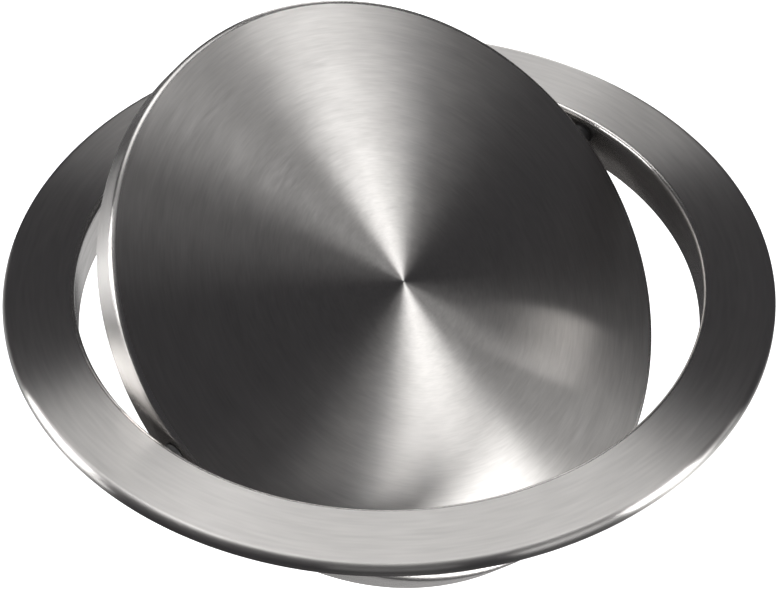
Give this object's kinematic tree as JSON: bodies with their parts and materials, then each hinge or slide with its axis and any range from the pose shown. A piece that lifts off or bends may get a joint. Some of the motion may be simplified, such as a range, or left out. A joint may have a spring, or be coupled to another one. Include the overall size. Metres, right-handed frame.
{
  "type": "round swing flap ring",
  "caption": "Round brushed steel flange ring with a short collar and a shallow pan flap that tilts inside it on one axle across the middle.",
  "frame": {"origin": "centre of the ring, on the surface that the flange sits on", "axes": "+Z is the ring's axis and points out of the face that is seen; X runs along the flap's axle; the +Y half of the flap is the raised half"},
  "size_m": [0.28, 0.28, 0.1452],
  "materials": {
    "brushed_ring": "brushed round the ring, satin",
    "brushed_flap": "brushed in fine circles about the flap's centre, satin",
    "mill_steel": "dull mill finish",
    "spring_steel": "rolled spring steel",
    "turned_steel": "turned, bright",
    "block_aluminium": "extruded, satin",
    "bearing_plastic": "black acetal",
    "gasket_rubber": "closed-cell foam rubber"
  },
  "bodies": {
    "ring": {"flange_ring": "brushed_ring", "collar_band": "brushed_ring", "flange_gasket": "gasket_rubber", "axle_boss_left": "turned_steel", "axle_boss_right": "turned_steel", "axle_bush_left": "bearing_plastic", "axle_bush_right": "bearing_plastic", "hold_clip_1": "spring_steel", "hold_clip_2": "spring_steel", "hold_clip_3": "spring_steel", "hold_clip_4": "spring_steel"},
    "flap": {"flap_face": "brushed_flap", "flap_skirt": "brushed_flap", "flap_rib_front": "mill_steel", "flap_rib_back": "mill_steel", "axle_rod": "turned_steel", "spacer_left": "bearing_plastic", "spacer_right": "bearing_plastic", "disc_springs": "spring_steel", "clip_ring": "spring_steel", "stop_collar": "turned_steel", "stop_collar_screw": "turned_steel", "axle_block_left": "block_aluminium", "axle_block_centre": "block_aluminium", "axle_block_right": "block_aluminium", "axle_block_screw": "turned_steel", "weld_studs": "turned_steel", "stud_washers": "turned_steel", "stud_nuts": "turned_steel"}
  },
  "joints": [
    {"name": "flap_hinge", "type": "hinge", "parent": "ring", "child": "flap", "pos_m": [0, 0, -0.0038], "axis": [1, 0, 0], "range_deg": [-37.5, 52.5]}
  ]
}
